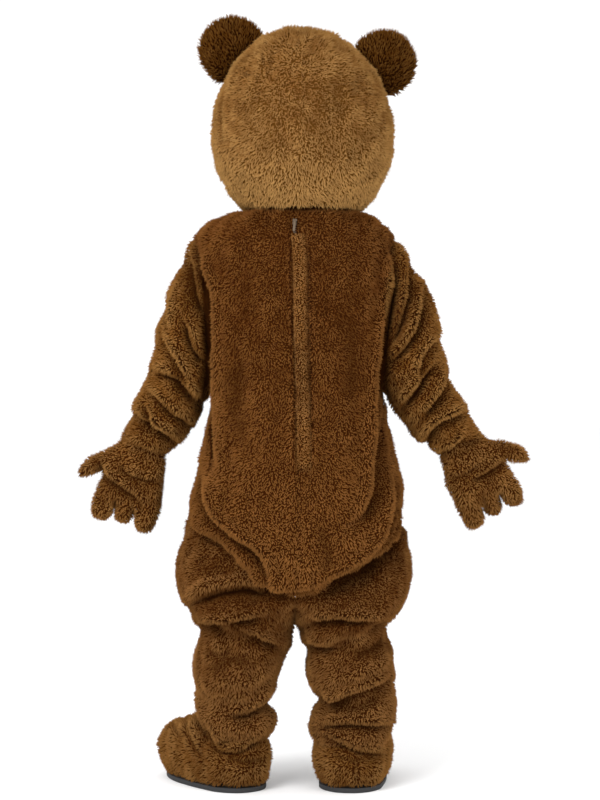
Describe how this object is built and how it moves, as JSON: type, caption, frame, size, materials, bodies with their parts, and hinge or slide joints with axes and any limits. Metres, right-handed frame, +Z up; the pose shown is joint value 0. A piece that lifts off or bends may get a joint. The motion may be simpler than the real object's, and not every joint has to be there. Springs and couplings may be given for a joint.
{
  "type": "bear mascot costume",
  "caption": "Full-body bear mascot costume in brown plush, with a padded head, paw gloves, foot covers and a back zip under a plush strip.",
  "frame": {"origin": "between the wearer's shoulders, 1.42 m above the floor, where the suit hangs on the wearer", "axes": "Z up; the wearer faces -Y; +X is the wearer's left"},
  "size_m": [1.1417, 0.5224, 1.934],
  "materials": {
    "plush_body": "dark brown long-pile plush",
    "plush_head": "lighter tan-brown long-pile plush on foam",
    "plush_ear": "darker brown plush",
    "plush_muzzle": "pale tan short-pile plush",
    "gloss_black": "glossy black moulded plastic",
    "rubber_sole": "black matt rubber",
    "zip_metal": "bright zip metal"
  },
  "bodies": {
    "costume": {"back_left": "plush_body", "back_right": "plush_body", "front": "plush_body", "sleeve_left": "plush_body", "sleeve_right": "plush_body", "leg_left": "plush_body", "leg_right": "plush_body", "glove_left": "plush_body", "glove_right": "plush_body", "boot_left": "plush_body", "boot_right": "plush_body", "sole_left": "rubber_sole", "sole_right": "rubber_sole", "head_back_left": "plush_head", "head_back_right": "plush_head", "head_face": "plush_head", "ear_left": "plush_ear", "ear_right": "plush_ear", "muzzle": "plush_muzzle", "nose": "gloss_black", "eye_left": "gloss_black", "eye_right": "gloss_black", "zip_flap": "plush_body", "zip_slider": "zip_metal"},
    "zip_pull": {"zip_pull": "zip_metal"}
  },
  "joints": [
    {"name": "zip_pull_hinge", "type": "hinge", "parent": "costume", "child": "zip_pull", "pos_m": [0.01281, 0.14372, -0.01341], "axis": [0.9967, -0.0271, 0.0761], "range_deg": [0, 110]}
  ]
}
